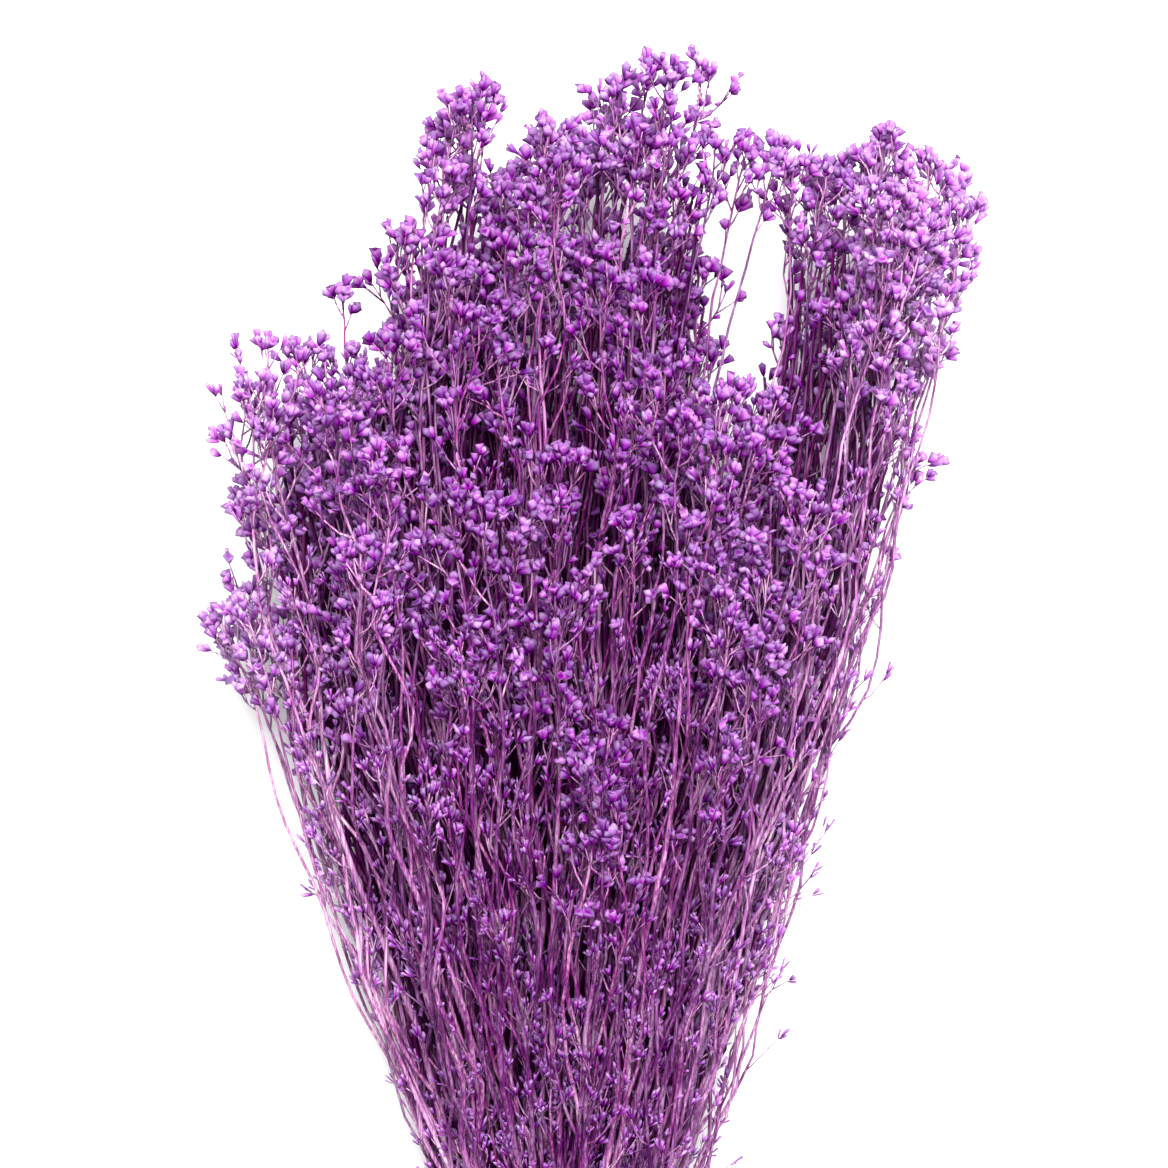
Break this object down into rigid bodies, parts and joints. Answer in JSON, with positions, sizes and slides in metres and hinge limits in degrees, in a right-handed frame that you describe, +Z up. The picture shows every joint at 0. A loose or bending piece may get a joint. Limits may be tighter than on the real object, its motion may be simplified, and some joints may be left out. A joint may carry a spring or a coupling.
{
  "type": "dried broom bloom bunch",
  "caption": "Bunch of dyed, dried broom bloom lying on its side: slim forked stems end in airy plumes of small pods and fan out from a twine tie.",
  "frame": {"origin": "on the surface that the bunch lies on, under the middle of its bounding box", "axes": "+Z up, +Y along the bunch from the cut ends to the heads, +X to the right seen from above with the heads up"},
  "size_m": [0.2472, 0.5716, 0.1207],
  "materials": {
    "dyed_broom": "matte",
    "twine": "matte"
  },
  "bodies": {
    "root": {"spray_01": "dyed_broom", "spray_02": "dyed_broom", "spray_03": "dyed_broom", "spray_04": "dyed_broom", "spray_05": "dyed_broom", "spray_06": "dyed_broom", "spray_07": "dyed_broom", "spray_08": "dyed_broom", "spray_09": "dyed_broom", "spray_10": "dyed_broom", "spray_11": "dyed_broom", "spray_12": "dyed_broom", "spray_13": "dyed_broom", "spray_14": "dyed_broom", "spray_15": "dyed_broom", "spray_16": "dyed_broom", "spray_17": "dyed_broom", "spray_18": "dyed_broom", "spray_19": "dyed_broom", "spray_20": "dyed_broom", "spray_21": "dyed_broom", "spray_22": "dyed_broom", "spray_23": "dyed_broom", "spray_24": "dyed_broom", "spray_25": "dyed_broom", "spray_26": "dyed_broom", "spray_27": "dyed_broom", "spray_28": "dyed_broom", "spray_29": "dyed_broom", "spray_30": "dyed_broom", "spray_31": "dyed_broom", "spray_32": "dyed_broom", "spray_33": "dyed_broom", "spray_34": "dyed_broom", "spray_35": "dyed_broom", "spray_36": "dyed_broom", "spray_37": "dyed_broom", "spray_38": "dyed_broom", "spray_39": "dyed_broom", "tie": "twine"}
  },
  "joints": []
}
